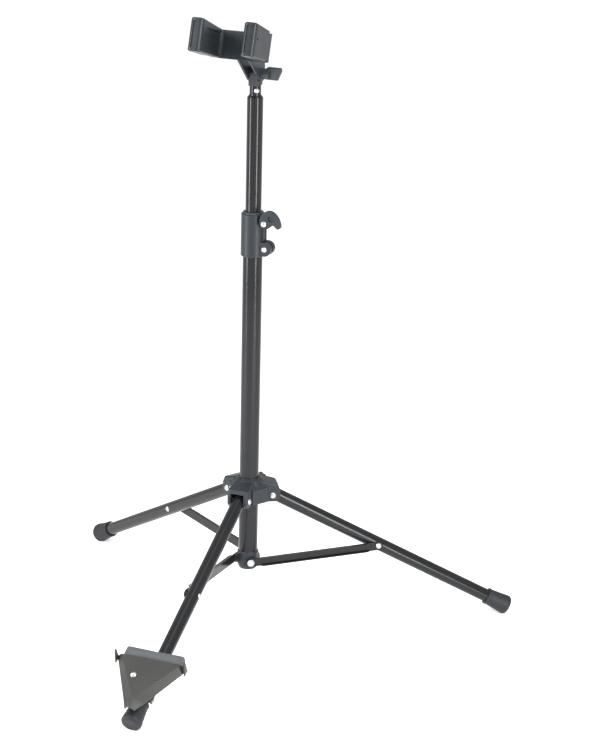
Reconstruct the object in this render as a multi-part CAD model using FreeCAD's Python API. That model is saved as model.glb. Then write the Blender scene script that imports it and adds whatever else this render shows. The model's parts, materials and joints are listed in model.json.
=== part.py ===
import FreeCAD, Part

import math
import os

# Folding tripod stand for a bassoon or bass clarinet, in millimetres.
# The mast's axis is Z and the floor is z = 0. The leg with the bell rest points along -Y.
# Each leg is drawn in its own frame first: x runs outward from the mast, z up, and the leg's
# strut lies on the side of negative y. The finished pieces are then turned to the leg's azimuth.

os.makedirs("parts", exist_ok=True)

V = FreeCAD.Vector
X_AXIS = V(1, 0, 0)
Y_AXIS = V(0, 1, 0)
Z_AXIS = V(0, 0, 1)

# ---- driving dimensions ----
LEG_AZIMUTHS = {"front": -90.0, "right": 30.0, "left": 150.0}

LOWER_TUBE_R = 12.5
LOWER_TUBE_WALL = 1.5
LOWER_TUBE_BOTTOM = 87.3
LOWER_TUBE_TOP = 532.3

UPPER_TUBE_R = 10.1
UPPER_TUBE_WALL = 1.4
UPPER_TUBE_BOTTOM = 320.3
SHOULDER_BOTTOM = 707.3
SHOULDER_TOP = 712.3
NECK_R = 7.2
NECK_TOP = 723.3

SLIDE_FIT = 0.05
TURN_FIT = 0.05
LOOSE = 0.3

LEG_R = 8.75
LEG_WALL = 1.2
LEG_PIVOT_R = 30.0
LEG_PIVOT_Z = 183.8
LEG_SLOPE = 28.334
LEG_LENGTH = 368.0

HUB_HALF_WIDTH = 14.0
HUB_BOTTOM = 175.8
HUB_TOP = 206.0
HUB_REACH = 40.0
HUB_WALL = 24.6

STRUT_INNER = V(2.0, -15.5, 91.3)
STRUT_OUTER = V(173.0, -9.4, 106.7)
STRUT_HALF_HEIGHT = 5.7
STRUT_WEB = 1.5
STRUT_DEPTH = 4.6

COLLAR_R = 13.9
COLLAR_BOTTOM = 78.3
COLLAR_TOP = 104.3

CLAMP_R = 15.3
CLAMP_BOTTOM = 505.5
CLAMP_TOP = 560.8
CLAMP_BOLT = (18.5, 516.5)
CLAMP_SCREW = (20.0, 551.3)
EAR_HALF_DEPTH = 8.3

TILT_Z = 738.3
FORK_TILT = 18.0
FORK_BACK = (36.4, 777.9)
FORK_GAP = 52.0
FORK_DEPTH = 72.0
BAND_HEIGHT = 35.0
ARM_HEIGHT = 30.0
BAND_THICKNESS = 3.0
COVER_THICKNESS = 17.0
COVER_HEIGHT = 41.0
COVER_OUTER_LENGTH = 44.0
COVER_INNER_LENGTH = 60.0

REST_FACE = (350.0, 41.9)
REST_LENGTH = 61.5
REST_SHEET = 1.8
REST_BOLT = (316.3, 29.4)


# ---- helpers ----
def save(node, *solids):
    """Write one node's solids as one STEP file."""
    shape = solids[0] if len(solids) == 1 else Part.makeCompound(list(solids))
    shape.exportStep("parts/" + node + ".step")


def cylinder(radius, start, end):
    """A solid cylinder between two points."""
    axis = end.sub(start)
    return Part.makeCylinder(radius, axis.Length, start, axis)


def tube(outer, inner, start, end):
    """A round tube between two points."""
    return cylinder(outer, start, end).cut(cylinder(inner, start, end))


def block(x0, x1, y0, y1, z0, z1):
    """A box from its limits."""
    return Part.makeBox(x1 - x0, y1 - y0, z1 - z0, V(x0, y0, z0))


def prism(points, direction):
    """A flat polygon pushed along a direction."""
    return Part.Face(Part.makePolygon(points + [points[0]])).extrude(direction)


def revolve(profile):
    """A closed outline of (radius, height) pairs turned about the Z axis."""
    points = [V(radius, 0, height) for radius, height in profile]
    face = Part.Face(Part.makePolygon(points + [points[0]]))
    return face.revolve(V(0, 0, 0), Z_AXIS, 360)


def aimed(shape, origin, direction):
    """Move a shape drawn about the Z axis so that Z runs along a direction from an origin."""
    placed = shape.copy()
    placed.Placement = FreeCAD.Placement(origin, FreeCAD.Rotation(Z_AXIS, direction))
    return placed


def turned(shape, azimuth):
    """Turn a shape drawn in a leg's own frame to the leg's azimuth."""
    placed = shape.copy()
    placed.rotate(V(0, 0, 0), Z_AXIS, azimuth)
    return placed


def rounded(shape, radius, wanted):
    """Round the edges that a test picks."""
    return shape.makeFillet(radius, [edge for edge in shape.Edges if wanted(edge)])


def dome_head(radius, height):
    """A low rivet head on z = 0."""
    sphere_r = (radius * radius + height * height) / (2 * height)
    ball = Part.makeSphere(sphere_r, V(0, 0, height - sphere_r))
    return ball.common(Part.makeCylinder(radius, height))


def hexagon(width, height):
    """A hexagon prism on z = 0, with its width measured across the flats."""
    corner = width / math.sqrt(3)
    points = [V(corner * math.cos(math.radians(60 * i)), corner * math.sin(math.radians(60 * i)), 0)
              for i in range(6)]
    return prism(points, V(0, 0, height))


# ---- mast: lower tube, collar, clamp ----
def lower_tube():
    """The mast's fixed tube."""
    return tube(LOWER_TUBE_R, LOWER_TUBE_R - LOWER_TUBE_WALL,
                V(0, 0, LOWER_TUBE_BOTTOM), V(0, 0, LOWER_TUBE_TOP))


def lower_collar():
    """The cast cup at the mast's foot, with a boss for each strut."""
    floor = LOWER_TUBE_BOTTOM
    cup = revolve([(0, COLLAR_BOTTOM), (7.5, COLLAR_BOTTOM), (11.5, COLLAR_BOTTOM + 1.6),
                   (13.2, COLLAR_BOTTOM + 5), (COLLAR_R, COLLAR_BOTTOM + 9), (COLLAR_R, COLLAR_TOP - 1.2),
                   (COLLAR_R - 1.2, COLLAR_TOP), (0, COLLAR_TOP)])
    boss_end = V(STRUT_INNER.x, STRUT_INNER.y + LOOSE, STRUT_INNER.z)
    boss = cylinder(7.2, V(STRUT_INNER.x, -8, STRUT_INNER.z), boss_end)
    for azimuth in LEG_AZIMUTHS.values():
        cup = cup.fuse(turned(boss, azimuth))
    cup = cup.cut(cylinder(LOWER_TUBE_R, V(0, 0, floor), V(0, 0, COLLAR_TOP + 1)))
    for azimuth in LEG_AZIMUTHS.values():
        hole = cylinder(3.0, V(STRUT_INNER.x, -LOWER_TUBE_R - 0.2, STRUT_INNER.z),
                        V(STRUT_INNER.x, -20, STRUT_INNER.z))
        cup = cup.cut(turned(hole, azimuth))
    return cup.removeSplitter()


def collar_bolts():
    """A shouldered bolt in the collar for each strut."""
    x, z = STRUT_INNER.x, STRUT_INNER.z
    head_y = STRUT_INNER.y - STRUT_WEB - 0.4
    bolts = []
    for azimuth in LEG_AZIMUTHS.values():
        shank = cylinder(3.0, V(x, -LOWER_TUBE_R - 0.4, z), V(x, head_y, z))
        washer = cylinder(4.6, V(x, head_y, z), V(x, head_y - 0.9, z))
        head = aimed(dome_head(3.9, 2.4), V(x, head_y - 0.9, z), V(0, -1, 0))
        bolts.append(turned(shank.fuse(washer).fuse(head).removeSplitter(), azimuth))
    return bolts


def clamp_sleeve():
    """The split sleeve at the joint of the two tubes, with an upper and a lower pair of ears."""
    body = revolve([(0, CLAMP_BOTTOM), (CLAMP_R - 0.8, CLAMP_BOTTOM), (CLAMP_R, CLAMP_BOTTOM + 0.8),
                    (CLAMP_R, CLAMP_TOP - 0.8), (CLAMP_R - 0.8, CLAMP_TOP), (0, CLAMP_TOP)])
    for (x, height), radius in ((CLAMP_BOLT, 8.9), (CLAMP_SCREW, 7.6)):
        low = V(x, -EAR_HALF_DEPTH, height)
        lobe = cylinder(radius, low, low.add(V(0, 2 * EAR_HALF_DEPTH, 0)))
        neck = block(6, x, -EAR_HALF_DEPTH, EAR_HALF_DEPTH, height - radius, height + radius)
        body = body.fuse(lobe).fuse(neck)
    rib = block(6, 16.6, -5.2, 5.2, CLAMP_BOLT[1], CLAMP_SCREW[1])
    body = body.fuse(rib)
    body = body.cut(cylinder(LOWER_TUBE_R, V(0, 0, CLAMP_BOTTOM - 1), V(0, 0, CLAMP_TOP + 1)))
    body = body.cut(block(5, 40, -1.4, 1.4, CLAMP_BOTTOM - 1, CLAMP_TOP + 1))
    for (x, height), radius in ((CLAMP_BOLT, 2.5), (CLAMP_SCREW, 3.1)):
        body = body.cut(cylinder(radius, V(x, -20, height), V(x, 20, height)))
    return body.removeSplitter()


def clamp_liner():
    """The plastic bush that the upper tube slides in, with a rim on top."""
    bore = UPPER_TUBE_R + SLIDE_FIT
    return revolve([(bore, LOWER_TUBE_TOP), (LOWER_TUBE_R, LOWER_TUBE_TOP), (LOWER_TUBE_R, CLAMP_TOP),
                    (13.4, CLAMP_TOP), (13.4, CLAMP_TOP + 1.2), (12.6, CLAMP_TOP + 2.2),
                    (bore, CLAMP_TOP + 2.2)])


def fixing_bolt():
    """The bolt that holds the sleeve on the lower tube."""
    x, z = CLAMP_BOLT
    shank = cylinder(2.5, V(x, -EAR_HALF_DEPTH, z), V(x, 12.6, z))
    head = aimed(dome_head(4.0, 2.8), V(x, -EAR_HALF_DEPTH, z), V(0, -1, 0))
    return shank.fuse(head).removeSplitter()


def fixing_nut():
    """The nut of the fixing bolt."""
    x, z = CLAMP_BOLT
    nut = aimed(hexagon(8.0, 4.0), V(x, EAR_HALF_DEPTH, z), Y_AXIS)
    return nut.cut(cylinder(2.5, V(x, 0, z), V(x, 20, z)))


def clamp_nut():
    """The fixed nut that the clamp's screw turns in."""
    x, z = CLAMP_SCREW
    nut = aimed(hexagon(10.0, 5.0), V(x, EAR_HALF_DEPTH, z), Y_AXIS)
    return nut.cut(cylinder(3.1, V(x, 0, z), V(x, 20, z)))


# ---- clamp lever ----
LEVER_BACK = -EAR_HALF_DEPTH - LOOSE
LEVER_FRONT = LEVER_BACK - 6.4


def on_lever(dx, dz, y):
    """A point of the lever from its place beside the screw's axis."""
    return V(CLAMP_SCREW[0] + dx, y, CLAMP_SCREW[1] + dz)


def lever_outline(corners, y):
    """A smooth closed face through points beside the screw's axis."""
    outline = Part.BSplineCurve()
    outline.interpolate([on_lever(dx, dz, y) for dx, dz in corners], PeriodicFlag=True)
    return Part.Face(Part.Wire([outline.toShape()]))


def clamp_lever():
    """The hooked lever: a boss with an arched horn that curls down at its tip, dished on its face."""
    horn = [(-5.4, 0), (-4.4, 9.4), (1.0, 15.6), (8.8, 17.0), (16.8, 11.8), (21.6, 2.6), (21.2, -4.0),
            (17.6, -4.4), (14.0, -1.2), (8.4, -0.8), (4.2, -4.4), (-2.4, -5.2)]
    body = lever_outline(horn, LEVER_BACK).extrude(V(0, LEVER_FRONT - LEVER_BACK, 0))
    body = rounded(body, 1.4, lambda edge: edge.BoundBox.YMax < LEVER_FRONT + 0.01)
    hollow = cylinder(3.8, on_lever(9.6, 7.6, LEVER_FRONT - 1), on_lever(9.6, 7.6, LEVER_FRONT + 1.4))
    hole = cylinder(3.0, on_lever(0, 0, LEVER_BACK + 1), on_lever(0, 0, LEVER_FRONT - 1))
    return body.cut(hollow).cut(hole)


def clamp_screw():
    """The screw that turns with the lever."""
    x, z = CLAMP_SCREW
    shank = cylinder(3.0, V(x, LEVER_FRONT, z), V(x, EAR_HALF_DEPTH + 7, z))
    head = aimed(dome_head(3.9, 2.4), V(x, LEVER_FRONT, z), V(0, -1, 0))
    return shank.fuse(head).removeSplitter()


# ---- hub ----
LOCK_Z = 191.3


def leg_hub():
    """The three-lobed casting that slides on the mast and carries the legs between cheeks."""
    shoulder = HUB_TOP - 1.5
    lobe_side = [V(0, 0, HUB_BOTTOM), V(36.5, 0, HUB_BOTTOM), V(HUB_REACH, 0, HUB_BOTTOM + 4),
                 V(HUB_REACH, 0, HUB_BOTTOM + 15.5), V(36.0, 0, HUB_BOTTOM + 23), V(17, 0, shoulder),
                 V(0, 0, shoulder)]
    lobe = prism(lobe_side, V(0, 2 * HUB_HALF_WIDTH, 0))
    lobe.translate(V(0, -HUB_HALF_WIDTH, 0))
    on_side = lambda edge: (abs(abs(edge.CenterOfMass.y) - HUB_HALF_WIDTH) < 0.01
                            and edge.CenterOfMass.x > 8 and edge.CenterOfMass.z > HUB_BOTTOM + 1)
    lobe = rounded(lobe, 2.4, on_side)
    centre = revolve([(0, HUB_BOTTOM), (23.6, HUB_BOTTOM), (23.6, HUB_BOTTOM + 15), (21.0, HUB_BOTTOM + 24),
                      (17.6, HUB_TOP - 1.2), (15.6, HUB_TOP), (0, HUB_TOP)])
    wall_side = [V(0, 0, HUB_BOTTOM), V(HUB_WALL, 0, HUB_BOTTOM), V(HUB_WALL, 0, HUB_BOTTOM + 19.5),
                 V(17, 0, shoulder - 0.6), V(0, 0, shoulder - 0.6)]
    wall = prism(wall_side, V(0, HUB_WALL, 0))
    wall.translate(V(0, -HUB_WALL / 2, 0))
    boss = cylinder(8.5, V(0, 12, LOCK_Z), V(0, 27, LOCK_Z))
    body = centre.fuse(boss)
    for azimuth in LEG_AZIMUTHS.values():
        body = body.fuse(turned(lobe, azimuth)).fuse(turned(wall, azimuth + 60))

    pivot = V(LEG_PIVOT_R, 0, LEG_PIVOT_Z)
    half_slot = LEG_R + LOOSE + 0.1
    swing = 13.4
    room = cylinder(swing, pivot.add(V(0, -half_slot, 0)), pivot.add(V(0, half_slot, 0)))
    below = block(pivot.x - swing, 60, -half_slot, half_slot, HUB_BOTTOM - 20, pivot.z)
    exit_room = block(0, 40, -half_slot, half_slot, -LEG_R - 0.5, LEG_R + 0.5)
    exit_room.rotate(V(0, 0, 0), Y_AXIS, LEG_SLOPE)
    exit_room.translate(pivot)
    hole = cylinder(3.0, pivot.add(V(0, -20, 0)), pivot.add(V(0, 20, 0)))
    slot = room.fuse(below).fuse(exit_room).fuse(hole)
    for azimuth in LEG_AZIMUTHS.values():
        body = body.cut(turned(slot, azimuth))
    body = body.cut(cylinder(14.4, V(0, 0, HUB_BOTTOM - 1), V(0, 0, HUB_TOP + 1)))
    body = body.cut(cylinder(3.1, V(0, 10, LOCK_Z), V(0, 40, LOCK_Z)))
    return body.removeSplitter()


def hub_liner():
    """The plastic bush between the hub and the mast, with a hole for the locking screw."""
    bore = LOWER_TUBE_R + SLIDE_FIT
    liner = tube(14.4, bore, V(0, 0, HUB_BOTTOM), V(0, 0, HUB_TOP + 1.0))
    return liner.cut(cylinder(3.1, V(0, 5, LOCK_Z), V(0, 40, LOCK_Z)))


def hub_rivets():
    """A through-rivet for each leg, with a head on both cheeks."""
    pivot = V(LEG_PIVOT_R, 0, LEG_PIVOT_Z)
    rivets = []
    for azimuth in LEG_AZIMUTHS.values():
        rivet = cylinder(3.0, pivot.add(V(0, -HUB_HALF_WIDTH, 0)), pivot.add(V(0, HUB_HALF_WIDTH, 0)))
        for side in (-1, 1):
            head = aimed(dome_head(4.2, 2.2), pivot.add(V(0, side * HUB_HALF_WIDTH, 0)), V(0, side, 0))
            rivet = rivet.fuse(head)
        rivets.append(turned(rivet.removeSplitter(), azimuth))
    return rivets


def lock_screw():
    """The screw that presses on the mast to lock the hub."""
    return cylinder(3.0, V(0, 12.8, LOCK_Z), V(0, 38, LOCK_Z))


def lock_knob():
    """The lobed knob on the locking screw."""
    knob = cylinder(8.0, V(0, 28.5, LOCK_Z), V(0, 41, LOCK_Z))
    for i in range(6):
        angle = math.radians(60 * i)
        x, z = 9.6 * math.cos(angle), LOCK_Z + 9.6 * math.sin(angle)
        knob = knob.cut(cylinder(2.8, V(x, 31, z), V(x, 45, z)))
    knob = knob.fuse(cylinder(5.5, V(0, 27.5, LOCK_Z), V(0, 29, LOCK_Z)))
    return knob.cut(cylinder(3.0, V(0, 20, LOCK_Z), V(0, 38, LOCK_Z))).removeSplitter()


# ---- legs, feet and struts, each in its leg's frame ----
LEG_DIRECTION = V(math.cos(math.radians(LEG_SLOPE)), 0, -math.sin(math.radians(LEG_SLOPE)))


def on_leg(distance):
    """The point of a leg's axis at a distance from its pivot."""
    return V(LEG_PIVOT_R, 0, LEG_PIVOT_Z).add(LEG_DIRECTION * distance)


def leg_tube():
    """A leg's tube, rounded about its pivot at the top."""
    end = LEG_LENGTH - 8
    body = cylinder(LEG_R, on_leg(-14), on_leg(end))
    pivot = on_leg(0)
    round_end = cylinder(12.6, pivot.add(V(0, -20, 0)), pivot.add(V(0, 20, 0)))
    body = body.common(round_end.fuse(cylinder(30, pivot, on_leg(end))))
    body = body.cut(cylinder(LEG_R - LEG_WALL, on_leg(-20), on_leg(end)))
    body = body.cut(cylinder(3.1, pivot.add(V(0, -20, 0)), pivot.add(V(0, 20, 0))))
    strut_hole = cylinder(2.5, V(STRUT_OUTER.x, -20, STRUT_OUTER.z), V(STRUT_OUTER.x, 20, STRUT_OUTER.z))
    return body.cut(strut_hole).removeSplitter()


def leg_rivet():
    """The rivet through the leg at its strut, up to the leg's face on the strut's side."""
    x, z = STRUT_OUTER.x, STRUT_OUTER.z
    shank = cylinder(2.5, V(x, -LEG_R - 0.2, z), V(x, LEG_R, z))
    head = aimed(dome_head(3.8, 2.6), V(x, LEG_R - 0.8, z), Y_AXIS)
    return shank.fuse(head).removeSplitter().cut(leg_tube())


def foot_cap():
    """The rubber foot: a collar, a flared sleeve and a round end with a flat sole on the floor."""
    length = 34.0
    profile = [(0, 0), (10.4, 0), (11.2, 0.9), (11.2, 3.6), (10.5, 4.4), (10.9, 6.5), (12.5, 24.0),
               (13.1, 29.0), (12.9, 31.4), (11.6, 33.3), (9.4, length), (0, length)]
    cap = aimed(revolve(profile), on_leg(LEG_LENGTH - length), LEG_DIRECTION)
    cap = cap.cut(cylinder(LEG_R, on_leg(LEG_LENGTH - length - 5), on_leg(LEG_LENGTH - 8)))
    return cap.cut(block(200, 500, -50, 50, -50, 0))


def strut():
    """A pressed channel strut with flat round ends."""
    run = STRUT_OUTER.sub(STRUT_INNER)
    length = run.Length
    half = STRUT_HALF_HEIGHT
    web = block(0, length, -STRUT_WEB, 0, -half, half)
    for x in (0, length):
        web = web.fuse(cylinder(half, V(x, -STRUT_WEB, 0), V(x, 0, 0)))
    for z0 in (-half, half - 1.4):
        flange = prism([V(10, 0, z0), V(16, -STRUT_DEPTH, z0), V(length - 16, -STRUT_DEPTH, z0),
                        V(length - 10, 0, z0)], V(0, 0, 1.4))
        web = web.fuse(flange)
    web = web.removeSplitter()
    yaw = math.degrees(math.asin(run.y / length))
    pitch = math.degrees(math.atan2(run.z, run.x))
    web.rotate(V(0, 0, 0), Z_AXIS, yaw)
    web.rotate(V(0, 0, 0), Y_AXIS, -pitch)
    web.translate(STRUT_INNER)
    for point, radius in ((STRUT_INNER, 3.1), (STRUT_OUTER, 2.5)):
        web = web.cut(cylinder(radius, V(point.x, -30, point.z), V(point.x, 0, point.z)))
    return web


def strut_rivet():
    """The head and neck of the rivet at the strut's leg end."""
    x, y, z = STRUT_OUTER.x, STRUT_OUTER.y, STRUT_OUTER.z
    shank = cylinder(2.5, V(x, y + 0.1, z), V(x, y - STRUT_WEB - 0.2, z))
    head = aimed(dome_head(3.9, 2.4), V(x, y - STRUT_WEB - 0.1, z), V(0, -1, 0))
    return shank.fuse(head).removeSplitter()


# ---- bell rest on the front leg, drawn in that leg's frame ----
REST_RUN = LEG_DIRECTION * -1
REST_UP = V(-LEG_DIRECTION.z, 0, LEG_DIRECTION.x)
REST_RIVET = (35.0, -12.7)
REST_MARK = (31.9, 16.6)
REST_CORNER = 46.9
LUG_SIDE = LEG_R + 0.85


def on_rest(run, side, up):
    """A point of the rest from its distance up the plate, to the side and above the plate's face."""
    return V(REST_FACE[0], side, REST_FACE[1]).add(REST_RUN * run).add(REST_UP * up)


def rest_section(run, web, edge, drop):
    """One cross-section of the folded plate: a flat web with a strip bent down at each side."""
    top = [(-edge, -drop), (-web, 0), (web, 0), (edge, -drop)]
    low = [(side, up - REST_SHEET) for side, up in reversed(top)]
    points = [on_rest(run, side, up) for side, up in top + low]
    return Part.makePolygon(points + [points[0]])


def bell_plate():
    """The triangular sheet plate with bent sides, a lip at the wide end, ears and bolt lugs."""
    tip = rest_section(-11, 0.4, 6.5, 5.5)
    front = rest_section(2, 0.8, 13.6, 7.3)
    wide = rest_section(REST_LENGTH, 40.0, REST_CORNER, 7.3)
    plate = Part.makeLoft([tip, front], True, True).fuse(Part.makeLoft([front, wide], True, True))
    inside = REST_LENGTH - REST_SHEET
    lip = prism([on_rest(inside, -39.0, -0.5), on_rest(REST_LENGTH, -39.0, -0.5),
                 on_rest(REST_LENGTH, -39.0, -12), on_rest(inside, -39.0, -12)], V(0, 78, 0))
    plate = plate.fuse(lip)
    for side in (-1, 1):
        ear_side = side * REST_CORNER
        ear = prism([on_rest(REST_LENGTH - 9, ear_side, -9.0), on_rest(REST_LENGTH, ear_side, -9.0),
                     on_rest(REST_LENGTH, ear_side, 7.0), on_rest(REST_LENGTH - 2.5, ear_side, 7.0)],
                    V(0, -side * REST_SHEET, 0))
        lug_side = side * LUG_SIDE
        lug = prism([on_rest(19.5, lug_side, -3.5), on_rest(44, lug_side, -1.5), on_rest(33, lug_side, -29),
                     on_rest(28, lug_side, -33), on_rest(20, lug_side, -33), on_rest(18, lug_side, -29)],
                    V(0, side * REST_SHEET, 0))
        plate = plate.fuse(ear).fuse(lug)
    plate = plate.cut(cylinder(2.6, V(REST_BOLT[0], -30, REST_BOLT[1]), V(REST_BOLT[0], 30, REST_BOLT[1])))
    for (run, side), radius in ((REST_RIVET, 2.0), (REST_MARK, 1.3)):
        plate = plate.cut(cylinder(radius, on_rest(run, side, -8), on_rest(run, side, 8)))
    return plate.removeSplitter()


def bell_pad():
    """The thick pad that backs the plate's wide end, a plain block with round ends."""
    half = 41.0
    back = REST_LENGTH + 15.5
    corners = [on_rest(REST_LENGTH, -half, -13), on_rest(back, -half, -13),
               on_rest(back, -half, -1), on_rest(REST_LENGTH, -half, -1)]
    pad = prism(corners, V(0, 2 * half, 0))
    return rounded(pad, 2.5, lambda edge: abs(edge.Length - 2 * half) > 1)


def bell_rivet():
    """The rivet on the plate's face."""
    run, side = REST_RIVET
    face = on_rest(run, side, 0)
    shank = cylinder(2.0, on_rest(run, side, -REST_SHEET - 0.4), face)
    top = aimed(dome_head(3.9, 2.2), face, REST_UP)
    tail = aimed(dome_head(3.2, 1.4), on_rest(run, side, -REST_SHEET), REST_UP * -1)
    return shank.fuse(top).fuse(tail).removeSplitter().cut(bell_plate())


def rest_bolt():
    """The bolt through the lugs and the front leg that the rest turns on."""
    x, z = REST_BOLT
    face = LUG_SIDE + REST_SHEET + 0.1
    shank = cylinder(2.5, V(x, -face, z), V(x, face + 3.4, z))
    head = aimed(dome_head(4.4, 2.8), V(x, -face, z), V(0, -1, 0))
    return shank.fuse(head).removeSplitter()


def rest_nut():
    """The nut of the rest's bolt."""
    x, z = REST_BOLT
    nut = aimed(hexagon(8.0, 3.4), V(x, LUG_SIDE + REST_SHEET + 0.1, z), Y_AXIS)
    return nut.cut(cylinder(2.5, V(x, 0, z), V(x, 20, z)))


# ---- upper tube and head ----
def guide_bush():
    """The plastic bush that guides the upper tube's end inside the lower tube."""
    outer = LOWER_TUBE_R - LOWER_TUBE_WALL - SLIDE_FIT
    spigot = UPPER_TUBE_R - UPPER_TUBE_WALL - TURN_FIT
    bottom = UPPER_TUBE_BOTTOM - 14
    return revolve([(5.5, bottom), (outer - 1, bottom), (outer, bottom + 1), (outer, UPPER_TUBE_BOTTOM - 0.1),
                    (spigot, UPPER_TUBE_BOTTOM - 0.1), (spigot, UPPER_TUBE_BOTTOM + 16),
                    (5.5, UPPER_TUBE_BOTTOM + 16)])


def upper_tube():
    """The sliding tube, drawn down to a narrower neck at its top."""
    inner = UPPER_TUBE_R - UPPER_TUBE_WALL
    neck_bore = NECK_R - UPPER_TUBE_WALL
    body = revolve([(inner, UPPER_TUBE_BOTTOM), (UPPER_TUBE_R, UPPER_TUBE_BOTTOM),
                    (UPPER_TUBE_R, SHOULDER_BOTTOM), (UPPER_TUBE_R - 0.5, SHOULDER_BOTTOM + 1.6),
                    (NECK_R + 0.6, SHOULDER_TOP - 1.2), (NECK_R, SHOULDER_TOP), (NECK_R, NECK_TOP),
                    (neck_bore, NECK_TOP), (neck_bore, SHOULDER_BOTTOM - 2), (inner, SHOULDER_BOTTOM - 6)])
    return body.cut(neck_rivet_bar(2.2, 12))


NECK_RIVET_Z = 717.3
NECK_RIVET_AZIMUTH = -50.0


def neck_rivet_bar(radius, half_length):
    """A bar across the neck along the rivet's line."""
    bar = cylinder(radius, V(-half_length, 0, NECK_RIVET_Z), V(half_length, 0, NECK_RIVET_Z))
    return turned(bar, NECK_RIVET_AZIMUTH)


def tilt_eye():
    """The plug in the neck, flattened above it to an eye for the tilt bolt."""
    plug = cylinder(NECK_R - UPPER_TUBE_WALL, V(0, 0, SHOULDER_BOTTOM), V(0, 0, NECK_TOP + 2))
    blade = block(-6, 6, -8, 8, NECK_TOP, TILT_Z)
    eye = cylinder(8.0, V(-6, 0, TILT_Z), V(6, 0, TILT_Z))
    foot = cylinder(NECK_R, V(0, 0, NECK_TOP), V(0, 0, NECK_TOP + 2.2))
    body = plug.fuse(blade).fuse(eye).fuse(foot)
    body = body.cut(neck_rivet_bar(2.2, 12))
    return body.cut(cylinder(3.1, V(-20, 0, TILT_Z), V(20, 0, TILT_Z))).removeSplitter()


def neck_rivet():
    """The rivet across the neck, with two heads."""
    rivet = neck_rivet_bar(2.2, NECK_R)
    for side in (-1, 1):
        head = aimed(dome_head(3.4, 2.4), V(side * (NECK_R - 0.9), 0, NECK_RIVET_Z), V(side, 0, 0))
        rivet = rivet.fuse(turned(head, NECK_RIVET_AZIMUTH))
    return rivet.removeSplitter().cut(upper_tube())


FORK_OUT = V(0, -math.cos(math.radians(FORK_TILT)), math.sin(math.radians(FORK_TILT)))
FORK_UP = V(0, math.sin(math.radians(FORK_TILT)), math.cos(math.radians(FORK_TILT)))
BAND_X = FORK_GAP / 2 + COVER_THICKNESS / 2


def in_fork(shape):
    """Place a shape drawn flat (arms along -Y, height along Z) at the tilted fork."""
    placed = shape.copy()
    placed.rotate(V(0, 0, 0), X_AXIS, -FORK_TILT)
    placed.translate(V(0, -FORK_BACK[0], FORK_BACK[1]))
    return placed


def fork_band_flat(end):
    """The U-shaped steel strip, open along -Y, with its back plate's front face on y = 0."""
    half_height = BAND_HEIGHT / 2
    half_arm = ARM_HEIGHT / 2
    outer = BAND_X + BAND_THICKNESS / 2
    body = block(-outer, outer, -end, BAND_THICKNESS, -half_height, half_height)
    corner = lambda edge: abs(edge.Length - BAND_HEIGHT) < 0.01 and edge.CenterOfMass.y > 0
    body = rounded(body, 9.0, corner)
    inner = outer - BAND_THICKNESS
    room = block(-inner, inner, -end - 1, 0, -half_height - 1, half_height + 1)
    inner_corner = lambda edge: abs(edge.Length - BAND_HEIGHT - 2) < 0.01 and edge.CenterOfMass.y > -0.01
    body = body.cut(rounded(room, 6.0, inner_corner))
    side_outline = [V(-outer - 1, 5, -half_height), V(-outer - 1, -4, -half_height),
                    V(-outer - 1, -13, -half_arm), V(-outer - 1, -end - 1, -half_arm),
                    V(-outer - 1, -end - 1, half_arm), V(-outer - 1, -13, half_arm),
                    V(-outer - 1, -4, half_height), V(-outer - 1, 5, half_height)]
    return body.common(prism(side_outline, V(2 * outer + 2, 0, 0)))


def fork_band():
    """The strip in its place."""
    return in_fork(fork_band_flat(FORK_DEPTH - 6))


def cover_half(x0, x1, length):
    """One half of an arm's cover, lower toward its root than at its tip."""
    half = COVER_HEIGHT / 2
    tip = FORK_DEPTH + 2
    fall = length / COVER_INNER_LENGTH
    outline = [V(x0, -tip, -half), V(x0, length - tip, -half + 1.5 * fall),
               V(x0, length - tip, half - 3.8 * fall), V(x0, -tip, half)]
    return prism(outline, V(x1 - x0, 0, 0))


def arm_cover(side):
    """The moulded cover of one arm: a long inner half, a shorter outer half and a round tip."""
    half = COVER_HEIGHT / 2
    near = FORK_GAP / 2
    far = near + COVER_THICKNESS
    tip = FORK_DEPTH + 2
    inner_half = cover_half(near, BAND_X, COVER_INNER_LENGTH)
    body = inner_half.fuse(cover_half(BAND_X, far, COVER_OUTER_LENGTH)).removeSplitter()
    upright_tip = lambda edge: abs(edge.Length - COVER_HEIGHT) < 0.01 and edge.CenterOfMass.y < -tip + 1
    body = rounded(body, 5.6, upright_tip)
    long_edge = lambda edge: (abs(edge.CenterOfMass.z) > half - 4.2 and edge.CenterOfMass.y < 1 - tip / 2
                              and edge.BoundBox.YLength > 0.5)
    body = rounded(body, 2.2, long_edge)
    panel = block(near - 1, near + 2.4, -tip + 14, 1, -half + 6.5, half - 9)
    ledge = block(near + 1.0, near + 2.5, -tip + 14, -16, 3.4, 5.0)
    nose = block(BAND_X - 4, BAND_X + 4, -tip - 1, -tip + 1.4, -half + 4, half - 4)
    hole = cylinder(1.6, V(far - 3, -tip + 9, 2), V(far + 3, -tip + 9, 2))
    body = body.cut(panel.cut(ledge)).cut(nose).cut(hole)
    if side < 0:
        body = body.mirror(V(0, 0, 0), X_AXIS)
    return in_fork(body.cut(fork_band_flat(FORK_DEPTH - 6)))


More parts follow.
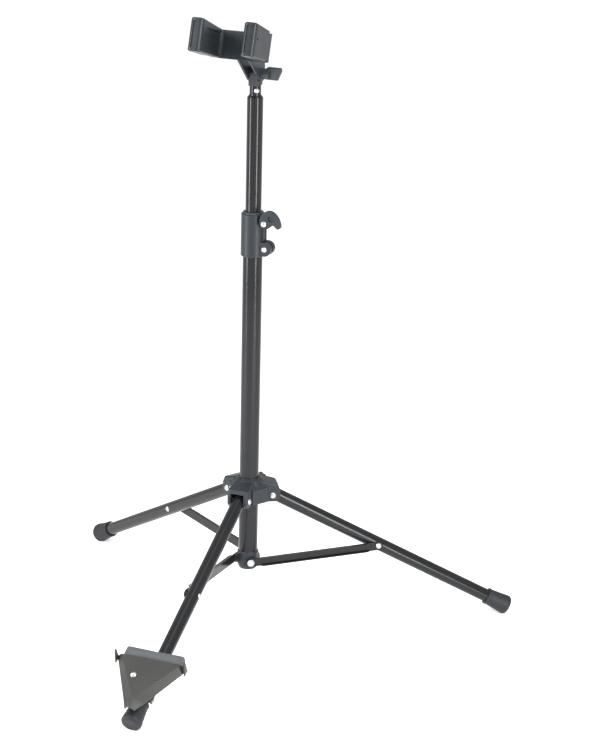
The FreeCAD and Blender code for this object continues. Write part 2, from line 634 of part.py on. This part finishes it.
def yoke():
    """The clevis that joins the fork to the tilt bolt: two side plates and a web on the band's back."""
    sheet = 2.5
    low = 6.3
    web_half = 14.0
    out, up = FORK_BACK
    rear = BAND_THICKNESS
    low_corner = V(0, -out, up).sub(FORK_UP * (BAND_HEIGHT / 2 - 0.5)).sub(FORK_OUT * rear)
    high_corner = V(0, -out, up).add(FORK_UP * 6.0).sub(FORK_OUT * rear)
    side_outline = [V(low, -7.0, TILT_Z - 7.1), low_corner.add(V(low, 0, 0)), high_corner.add(V(low, 0, 0)),
                    V(low, 6.0, TILT_Z + 27), V(low, 9.6, TILT_Z + 2.8)]
    cheek = prism(side_outline, V(sheet, 0, 0))
    cheek = cheek.fuse(cylinder(10.0, V(low, 0, TILT_Z), V(low + sheet, 0, TILT_Z)))
    body = cheek.fuse(cheek.mirror(V(0, 0, 0), X_AXIS))

    inward = FORK_OUT * -sheet
    web_outline = [low_corner, high_corner, high_corner.add(inward), low_corner.add(inward)]
    web = prism([point.sub(V(web_half, 0, 0)) for point in web_outline], V(2 * web_half, 0, 0))
    body = body.fuse(web)
    return body.cut(cylinder(3.0, V(-30, 0, TILT_Z), V(30, 0, TILT_Z))).removeSplitter()


TILT_BOLT_END = 17.0


def tilt_bolt():
    """The bolt through the yoke and the eye."""
    shank = cylinder(3.0, V(-8.8, 0, TILT_Z), V(TILT_BOLT_END, 0, TILT_Z))
    head = aimed(dome_head(5.4, 3.4), V(-8.8, 0, TILT_Z), V(-1, 0, 0))
    return shank.fuse(head).removeSplitter()


def tilt_washer():
    """The washer between the yoke and the wing nut."""
    return tube(6.8, 3.0, V(8.8, 0, TILT_Z), V(10.0, 0, TILT_Z))


def tilt_wing_nut():
    """The moulded wing nut that clamps the tilt, with a blind bore."""
    hub = cylinder(6.6, V(10.3, 0, TILT_Z), V(19, 0, TILT_Z))
    wing_side = [V(12, -2.8, TILT_Z - 5), V(16, -2.8, TILT_Z - 6.5), V(30, -2.8, TILT_Z - 6.5),
                 V(35, -2.8, TILT_Z + 5), V(34.2, -2.8, TILT_Z + 9.2), V(17, -2.8, TILT_Z + 9.2),
                 V(12, -2.8, TILT_Z + 5.5)]
    wing = prism(wing_side, V(0, 5.6, 0))
    wing = rounded(wing, 1.3, lambda edge: abs(abs(edge.CenterOfMass.y) - 2.8) < 0.01)
    body = hub.fuse(wing).removeSplitter()
    return body.cut(cylinder(3.1, V(5, 0, TILT_Z), V(TILT_BOLT_END + 0.6, 0, TILT_Z)))


# ---- write the nodes ----
save("lower_tube", lower_tube())
save("lower_collar", lower_collar())
save("collar_bolts", *collar_bolts())
save("clamp_sleeve", clamp_sleeve())
save("clamp_liner", clamp_liner())
save("fixing_bolt", fixing_bolt())
save("fixing_nut", fixing_nut())
save("clamp_nut", clamp_nut())
save("clamp_lever", clamp_lever())
save("clamp_screw", clamp_screw())
save("leg_hub", leg_hub())
save("hub_liner", hub_liner())
save("hub_rivets", *hub_rivets())
save("lock_screw", lock_screw())
save("lock_knob", lock_knob())

rest_hole = cylinder(2.5, V(REST_BOLT[0], -20, REST_BOLT[1]), V(REST_BOLT[0], 20, REST_BOLT[1]))
for name, azimuth in LEG_AZIMUTHS.items():
    pipe = leg_tube()
    if name == "front":
        pipe = pipe.cut(rest_hole)
    save("leg_tube_" + name, turned(pipe, azimuth))
    save("leg_rivet_" + name, turned(leg_rivet(), azimuth))
    save("foot_cap_" + name, turned(foot_cap(), azimuth))
    save("strut_" + name, turned(strut(), azimuth))
    save("strut_rivet_" + name, turned(strut_rivet(), azimuth))

FRONT = LEG_AZIMUTHS["front"]
save("bell_plate", turned(bell_plate(), FRONT))
save("bell_pad", turned(bell_pad(), FRONT))
save("bell_rivet", turned(bell_rivet(), FRONT))
save("rest_bolt", turned(rest_bolt(), FRONT))
save("rest_nut", turned(rest_nut(), FRONT))

save("guide_bush", guide_bush())
save("upper_tube", upper_tube())
save("tilt_eye", tilt_eye())
save("neck_rivet", neck_rivet())
save("fork_band", fork_band())
save("arm_cover_left", arm_cover(-1))
save("arm_cover_right", arm_cover(1))
save("yoke", yoke())
save("tilt_bolt", tilt_bolt())
save("tilt_washer", tilt_washer())
save("tilt_wing_nut", tilt_wing_nut())
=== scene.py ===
import json
import math

import bmesh
import bpy
from mathutils import Matrix, Vector


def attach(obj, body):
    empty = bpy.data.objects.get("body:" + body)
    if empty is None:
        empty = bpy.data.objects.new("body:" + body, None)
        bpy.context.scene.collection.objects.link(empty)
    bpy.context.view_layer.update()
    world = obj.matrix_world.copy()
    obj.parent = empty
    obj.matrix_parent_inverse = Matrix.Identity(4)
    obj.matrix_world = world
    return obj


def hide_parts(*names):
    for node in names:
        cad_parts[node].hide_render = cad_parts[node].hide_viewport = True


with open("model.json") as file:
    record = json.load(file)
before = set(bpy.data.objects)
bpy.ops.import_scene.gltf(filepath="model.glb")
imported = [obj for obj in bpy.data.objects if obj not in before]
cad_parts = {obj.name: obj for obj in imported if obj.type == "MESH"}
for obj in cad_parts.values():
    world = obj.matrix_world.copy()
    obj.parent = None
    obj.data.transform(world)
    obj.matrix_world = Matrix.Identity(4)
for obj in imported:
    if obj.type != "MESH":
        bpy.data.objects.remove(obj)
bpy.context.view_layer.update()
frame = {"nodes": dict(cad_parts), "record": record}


# ---- shader helpers ----
class Shader:
    """A node tree under construction, with short calls for the nodes that the finishes share."""

    def __init__(self, name):
        self.material = bpy.data.materials.new(name)
        self.material.use_nodes = True
        self.tree = self.material.node_tree
        self.surface = next(n for n in self.tree.nodes if n.type == "BSDF_PRINCIPLED")
        self.coords = self.tree.nodes.new("ShaderNodeTexCoord").outputs["Object"]

    def node(self, kind, **settings):
        made = self.tree.nodes.new(kind)
        for key, value in settings.items():
            setattr(made, key, value)
        return made

    def link(self, output, target):
        self.tree.links.new(output, target)

    def noise(self, scale, detail=3.0, roughness=0.5, vector=None):
        made = self.node("ShaderNodeTexNoise")
        made.inputs["Scale"].default_value = scale
        made.inputs["Detail"].default_value = detail
        made.inputs["Roughness"].default_value = roughness
        self.link(vector or self.coords, made.inputs["Vector"])
        return made.outputs["Fac"]

    def cells(self, scale, feature="F1", vector=None):
        made = self.node("ShaderNodeTexVoronoi", feature=feature)
        made.inputs["Scale"].default_value = scale
        self.link(vector or self.coords, made.inputs["Vector"])
        return made.outputs["Distance"]

    def span(self, value, low, high, to_low, to_high):
        """Map a value from one range to another, clamped."""
        made = self.node("ShaderNodeMapRange")
        self.link(value, made.inputs["Value"])
        for name, number in (("From Min", low), ("From Max", high), ("To Min", to_low), ("To Max", to_high)):
            made.inputs[name].default_value = number
        return made.outputs["Result"]

    def math(self, operation, first, second):
        made = self.node("ShaderNodeMath", operation=operation)
        for socket, value in zip(made.inputs, (first, second)):
            if isinstance(value, (int, float)):
                socket.default_value = value
            else:
                self.link(value, socket)
        return made.outputs["Value"]

    def mix(self, factor, first, second):
        """Blend two colours. Each is a tuple or another node's output."""
        made = self.node("ShaderNodeMix", data_type="RGBA")
        self.link(factor, made.inputs["Factor"])
        for socket, value in ((made.inputs[6], first), (made.inputs[7], second)):
            if isinstance(value, tuple):
                socket.default_value = (*value, 1.0)
            else:
                self.link(value, socket)
        return made.outputs[2]

    def bump(self, height, distance, strength=1.0, under=None):
        made = self.node("ShaderNodeBump")
        made.inputs["Distance"].default_value = distance
        made.inputs["Strength"].default_value = strength
        self.link(height, made.inputs["Height"])
        if under is not None:
            self.link(under, made.inputs["Normal"])
        return made.outputs["Normal"]

    def edges(self, radius, low, high):
        """1 on worn outside corners and 0 elsewhere."""
        bevel = self.node("ShaderNodeBevel", samples=4)
        bevel.inputs["Radius"].default_value = radius
        geometry = self.node("ShaderNodeNewGeometry")
        dot = self.node("ShaderNodeVectorMath", operation="DOT_PRODUCT")
        self.link(bevel.outputs["Normal"], dot.inputs[0])
        self.link(geometry.outputs["Normal"], dot.inputs[1])
        return self.span(dot.outputs["Value"], high, low, 0.0, 1.0)

    def finish(self, colour, roughness, normal, **fixed):
        for name, value in (("Base Color", colour), ("Roughness", roughness), ("Normal", normal)):
            self.link(value, self.surface.inputs[name])
        for name, value in fixed.items():
            self.surface.inputs[name.replace("_", " ")].default_value = value
        return self.material


def coated(name, dark, light, rough, grain, depth, wear, **fixed):
    """A powder-coated or painted metal: uneven tone, orange-peel grain and rubbed corners."""
    s = Shader(name)
    tone = s.span(s.noise(14.0, 4.0, 0.6), 0.3, 0.7, 0.0, 1.0)
    base = s.mix(tone, dark, light)
    rub = s.math("MULTIPLY", s.edges(0.0006, 0.70, 0.90), s.span(s.noise(260.0, 5.0), 0.42, 0.62, 0.0, wear))
    lit = tuple(min(1.0, 2.4 * c + 0.02) for c in light)
    colour = s.mix(rub, base, lit)
    spread = s.noise(90.0, 4.0, 0.6)
    roughness = s.span(spread, 0.25, 0.75, rough - 0.05, rough + 0.06)
    fine = s.bump(s.noise(grain, 2.0, 0.5), depth)
    normal = s.bump(s.noise(grain * 0.28, 2.0, 0.5), depth * 1.6, 0.6, fine)
    return s.finish(colour, roughness, normal, **fixed)


def plated_steel(name):
    """Bright zinc-plated steel with faint turning marks."""
    s = Shader(name)
    streaks = s.noise(420.0, 5.0, 0.65)
    colour = s.mix(s.span(s.noise(150.0, 3.0), 0.3, 0.7, 0.0, 1.0), (0.50, 0.51, 0.53), (0.62, 0.62, 0.61))
    roughness = s.span(streaks, 0.3, 0.7, 0.28, 0.46)
    normal = s.bump(streaks, 0.00002, 0.5)
    return s.finish(colour, roughness, normal, Metallic=1.0)


def moulded(name, dark, light, rough, grain, depth, **fixed):
    """A moulded plastic or rubber with a fine eroded texture."""
    s = Shader(name)
    tone = s.span(s.noise(22.0, 4.0, 0.6), 0.3, 0.7, 0.0, 1.0)
    base = s.mix(tone, dark, light)
    lit = tuple(1.8 * c + 0.01 for c in light)
    rub = s.math("MULTIPLY", s.edges(0.0007, 0.70, 0.92), s.span(s.noise(180.0, 4.0), 0.35, 0.65, 0.1, 0.6))
    colour = s.mix(rub, base, lit)
    roughness = s.span(s.noise(70.0, 5.0, 0.6), 0.25, 0.75, rough - 0.06, rough + 0.07)
    pits = s.bump(s.cells(grain), depth)
    normal = s.bump(s.noise(grain * 0.4, 3.0), depth, 0.7, pits)
    return s.finish(colour, roughness, normal, **fixed)


def foam(name):
    """A closed-cell foam pad with small pores, painted shade darkening the pore centres, and a faintly
    mottled skin.
    """
    s = Shader(name)
    tone = s.span(s.noise(38.0, 5.0, 0.65), 0.3, 0.7, 0.0, 1.0)
    base = s.mix(tone, (0.066, 0.070, 0.075), (0.086, 0.091, 0.097))
    pores = s.cells(1100.0)
    # painted shade: the pore centres are blended towards a darker grey to stand in for the shade inside each
    # pore
    colour = s.mix(s.span(pores, 0.05, 0.4, 0.35, 0.0), base, (0.060, 0.063, 0.069))
    roughness = s.span(s.noise(120.0, 3.0), 0.3, 0.7, 0.72, 0.88)
    normal = s.bump(s.noise(300.0, 4.0), 0.00025, 0.7, s.bump(pores, 0.0002))
    return s.finish(colour, roughness, normal)


SHEEN = 0.3
ENAMEL = ((0.0075, 0.008, 0.009), (0.011, 0.0115, 0.013))
CAST = ((0.014, 0.018, 0.022), (0.021, 0.026, 0.031))
SHEET = ((0.034, 0.034, 0.032), (0.043, 0.043, 0.040))
PLASTIC = ((0.026, 0.029, 0.032), (0.036, 0.040, 0.044))
COVER = ((0.013, 0.016, 0.019), (0.019, 0.023, 0.027))
RUBBER = ((0.014, 0.015, 0.018), (0.020, 0.021, 0.025))

FINISHES = {
    "black_tube": coated("black_enamel", *ENAMEL, 0.15, 700.0, 0.000006, 0.15, Specular_IOR_Level=SHEEN),
    "cast_black": coated("cast_coat", *CAST, 0.38, 1300.0, 0.00006, 0.3, Specular_IOR_Level=SHEEN),
    "sheet_grey": coated("sheet_coat", *SHEET, 0.42, 1100.0, 0.00004, 0.4, Specular_IOR_Level=SHEEN),
    "dark_plastic": moulded("moulded_plastic", *PLASTIC, 0.42, 1500.0, 0.00006, Specular_IOR_Level=SHEEN),
    "arm_cover": moulded("cover_plastic", *COVER, 0.34, 1200.0, 0.00005, Specular_IOR_Level=SHEEN),
    "foot_rubber": moulded("foot_rubber", *RUBBER, 0.52, 900.0, 0.00009, Specular_IOR_Level=SHEEN),
    "pad_foam": foam("pad_foam"),
    "bright_steel": plated_steel("plated_steel"),
}


def dress(piece, slot_name):
    """Give a piece the finish of one of the record's slots."""
    piece.data.materials.clear()
    piece.data.materials.append(FINISHES[slot_name])


for part in frame["record"]["subparts"]:
    dress(frame["nodes"][part["node"]], part["material_slot"])


# ---- the pad of the bell rest ----
PAD_VOXEL = 0.0018
PAD_START = 0.95
PAD_SWELL = 0.0012
PAD_PRESSURE = 15.0
PAD_STEPS = 20
PAD_SMOOTHING = 4


def frozen(piece, name):
    """A new object with the piece's modifiers worked into its mesh."""
    bpy.context.view_layer.update()
    graph = bpy.context.evaluated_depsgraph_get()
    mesh = bpy.data.meshes.new_from_object(piece.evaluated_get(graph))
    made = bpy.data.objects.new(name, mesh)
    bpy.context.scene.collection.objects.link(made)
    made.matrix_world = piece.matrix_world.copy()
    bpy.data.objects.remove(piece)
    return made


def stuffed(node, name):
    """A cushion grown by a cloth simulation from a slightly smaller copy of a node's solid."""
    source = frame["nodes"][node]
    core = bpy.data.objects.new(name + "_core", source.data.copy())
    bpy.context.scene.collection.objects.link(core)
    core.matrix_world = source.matrix_world.copy()
    points = [vertex.co.copy() for vertex in core.data.vertices]
    middle = sum(points, Vector()) / len(points)
    for vertex in core.data.vertices:
        vertex.co = middle + (vertex.co - middle) * PAD_START
    remesh = core.modifiers.new("remesh", "REMESH")
    remesh.mode = "VOXEL"
    remesh.voxel_size = PAD_VOXEL
    soften = core.modifiers.new("soften", "SMOOTH")
    soften.iterations = PAD_SMOOTHING
    core = frozen(core, name + "_skin")
    before = [vertex.co.copy() for vertex in core.data.vertices]
    cloth = core.modifiers.new("cloth", "CLOTH")
    cloth.settings.use_pressure = True
    cloth.settings.uniform_pressure_force = PAD_PRESSURE
    cloth.settings.effector_weights.gravity = 0.0
    for step in range(1, PAD_STEPS + 1):
        bpy.context.scene.frame_set(step)
    core = frozen(core, name + "_blown")
    for vertex, start in zip(core.data.vertices, before):
        move = vertex.co - start
        if move.length > PAD_SWELL:
            vertex.co = start + move.normalized() * PAD_SWELL
    bpy.context.scene.frame_set(1)
    core.modifiers.new("fine", "SUBSURF").render_levels = 1
    pad = frozen(core, name)
    pad.data.shade_smooth()
    return pad


pad = stuffed("bell_pad", "stuffed_pad")
dress(pad, "pad_foam")
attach(pad, "bell_rest")
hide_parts("bell_pad")


# ---- camera ----
CAMERA_AT = Vector((1.1286, -2.6732, 1.3062))
CAMERA_YAW = math.radians(21.64)
CAMERA_DIP = math.radians(18.22)
CAMERA_ROLL = 0.023
LENS = 114.98

forward = Vector((-math.sin(CAMERA_YAW) * math.cos(CAMERA_DIP), math.cos(CAMERA_YAW) * math.cos(CAMERA_DIP),
                  -math.sin(CAMERA_DIP)))
level = Vector((math.cos(CAMERA_YAW), math.sin(CAMERA_YAW), 0.0))
upward = level.cross(forward)
right = level * math.cos(CAMERA_ROLL) + upward * math.sin(CAMERA_ROLL)
above = upward * math.cos(CAMERA_ROLL) - level * math.sin(CAMERA_ROLL)

camera_data = bpy.data.cameras.new("camera")
camera_data.lens = LENS
camera_data.sensor_width = 36.0
camera_data.clip_end = 100.0
camera = bpy.data.objects.new("camera", camera_data)
bpy.context.scene.collection.objects.link(camera)
axes = Matrix((right, above, -forward)).transposed()
camera.matrix_world = Matrix.Translation(CAMERA_AT) @ axes.to_4x4()
bpy.context.scene.camera = camera


# ---- light and floor ----
TO_CAMERA = Vector((-forward.x, -forward.y, 0.0)).normalized()
SUBJECT = Vector((0.0, 0.0, 0.42))


def softbox(name, angle, distance, height, width, tall, power):
    """A soft panel at an angle round the object from the camera's side, facing the mast."""
    light = bpy.data.lights.new(name, "AREA")
    light.shape = "RECTANGLE"
    light.size = width
    light.size_y = tall
    light.energy = power
    lamp = bpy.data.objects.new(name, light)
    bpy.context.scene.collection.objects.link(lamp)
    turn = math.radians(angle)
    where = (TO_CAMERA * math.cos(turn) + level * math.sin(turn)) * distance
    lamp.location = where + Vector((0, 0, height))
    lamp.rotation_mode = "QUATERNION"
    lamp.rotation_quaternion = (SUBJECT - lamp.location).to_track_quat("-Z", "Y")


softbox("left_softbox", -66.0, 1.25, 0.84, 0.28, 1.66, 24.0)
softbox("right_softbox", 40.0, 1.25, 0.84, 0.28, 1.66, 24.0)
softbox("top_softbox", 20.0, 0.6, 2.6, 1.6, 1.6, 10.0)

WORLD_LEVEL = 0.7
world = bpy.data.worlds.new("studio")
world.use_nodes = True
world.node_tree.nodes["Background"].inputs["Color"].default_value = (1.0, 1.0, 1.0, 1.0)
world.node_tree.nodes["Background"].inputs["Strength"].default_value = WORLD_LEVEL
bpy.context.scene.world = world
bpy.context.scene.view_settings.view_transform = "Standard"

FLOOR_RADIUS = 40.0
FLOOR_GLOW = 0.36
floor_mesh = bmesh.new()
bmesh.ops.create_circle(floor_mesh, cap_ends=True, cap_tris=False, segments=96, radius=FLOOR_RADIUS)
floor_data = bpy.data.meshes.new("floor")
floor_mesh.to_mesh(floor_data)
floor_mesh.free()
floor = bpy.data.objects.new("floor", floor_data)
bpy.context.scene.collection.objects.link(floor)
paper = Shader("paper")
mottle = paper.span(paper.noise(3.0), 0.3, 0.7, 0.0, 1.0)
paper_tone = paper.mix(mottle, (0.93, 0.93, 0.93), (0.95, 0.95, 0.95))
paper_rough = paper.span(paper.noise(8.0), 0.3, 0.7, 0.85, 0.95)
paper_bump = paper.bump(paper.noise(200.0), 0.00002)
floor_data.materials.append(paper.finish(paper_tone, paper_rough, paper_bump, Emission_Strength=FLOOR_GLOW,
                                         Emission_Color=(1.0, 1.0, 1.0, 1.0)))
